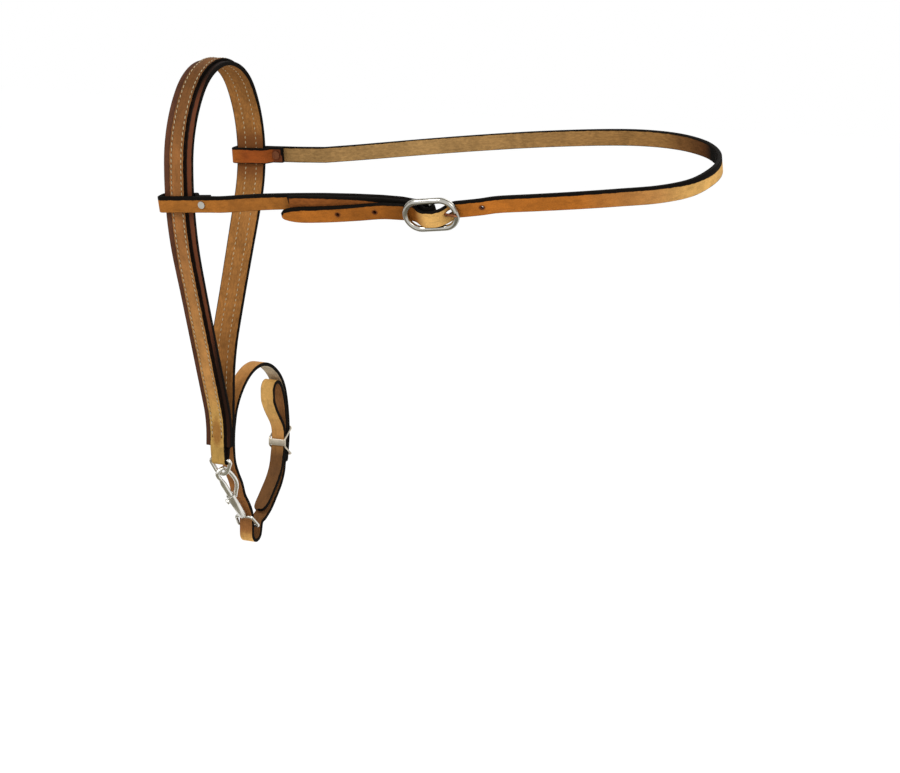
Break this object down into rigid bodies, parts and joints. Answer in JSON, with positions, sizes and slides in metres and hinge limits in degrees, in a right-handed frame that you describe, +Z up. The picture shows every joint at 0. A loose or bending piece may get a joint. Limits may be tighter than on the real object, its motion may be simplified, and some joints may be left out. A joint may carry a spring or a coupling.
{
  "type": "tie-down noseband",
  "caption": "Doubled leather noseband on a buckled crown strap, with a dee and a swivel bolt snap that carries a small buckled loop for the tie-down strap.",
  "frame": {"origin": "inside top of the noseband's arch, where it lies over the nose", "axes": "+X from the noseband along the crown strap, +Z up, -Y towards the near side with the buckle"},
  "size_m": [0.5423, 0.2482, 0.5102],
  "materials": {
    "chestnut_leather": "dark chestnut harness leather with dyed edges",
    "tan_leather": "light tan harness leather, cream thread, dark dyed edges",
    "nickel_plate": "bright nickel plate",
    "spring_steel": "plain spring steel wire"
  },
  "bodies": {
    "noseband": {"noseband_base": "chestnut_leather", "noseband_overlay": "tan_leather"},
    "crown": {"crown_strap": "tan_leather", "cheek_strap": "tan_leather", "near_post": "nickel_plate", "near_screw": "nickel_plate", "far_post": "nickel_plate", "far_screw": "nickel_plate", "turnback_post": "nickel_plate", "turnback_screw": "nickel_plate", "crown_buckle_frame": "nickel_plate"},
    "tongue": {"crown_buckle_tongue": "nickel_plate"},
    "dee": {"dee_ring": "nickel_plate"},
    "snap": {"snap_body": "nickel_plate", "snap_spring": "spring_steel"},
    "bolt": {"snap_bolt": "nickel_plate"},
    "eye": {"swivel_eye": "nickel_plate"},
    "loop": {"loop_strap": "tan_leather", "loop_buckle": "nickel_plate"}
  },
  "joints": [
    {"name": "crown_rock", "type": "hinge", "parent": "noseband", "child": "crown", "pos_m": [0, -0.06918, -0.1306], "axis": [0, 0.9687, 0.2484], "range_deg": [-1, 4]},
    {"name": "tongue_pivot", "type": "hinge", "parent": "crown", "child": "tongue", "pos_m": [0.27953, -0.0894, -0.11922], "axis": [-0.1112, -0.4093, 0.9056], "range_deg": [-3, 0]},
    {"name": "dee_swing", "type": "hinge", "parent": "noseband", "child": "dee", "pos_m": [0, 0.013, -0.4028], "axis": [1, 0, 0], "range_deg": [-90, 1]},
    {"name": "snap_swing", "type": "hinge", "parent": "dee", "child": "snap", "pos_m": [0, 0.01758, -0.41877], "axis": [1, 0, 0], "range_deg": [-35, 0]},
    {"name": "bolt_slide", "type": "slide", "parent": "snap", "child": "bolt", "axis": [0.0558, 0.659, -0.7501], "range_m": [0, 0.008], "stiffness_N_per_m": 300, "springref_m": -0.006, "deforming": ["snap_spring"]},
    {"name": "eye_swivel", "type": "hinge", "parent": "snap", "child": "eye", "pos_m": [0.00078, 0.05376, -0.46612], "axis": [0.0558, 0.659, -0.7501], "range_deg": [-30, 6]},
    {"name": "loop_swing", "type": "hinge", "parent": "eye", "child": "loop", "pos_m": [0.00217, 0.07023, -0.48487], "axis": [1, 0, 0], "range_deg": [-30, 0]}
  ]
}
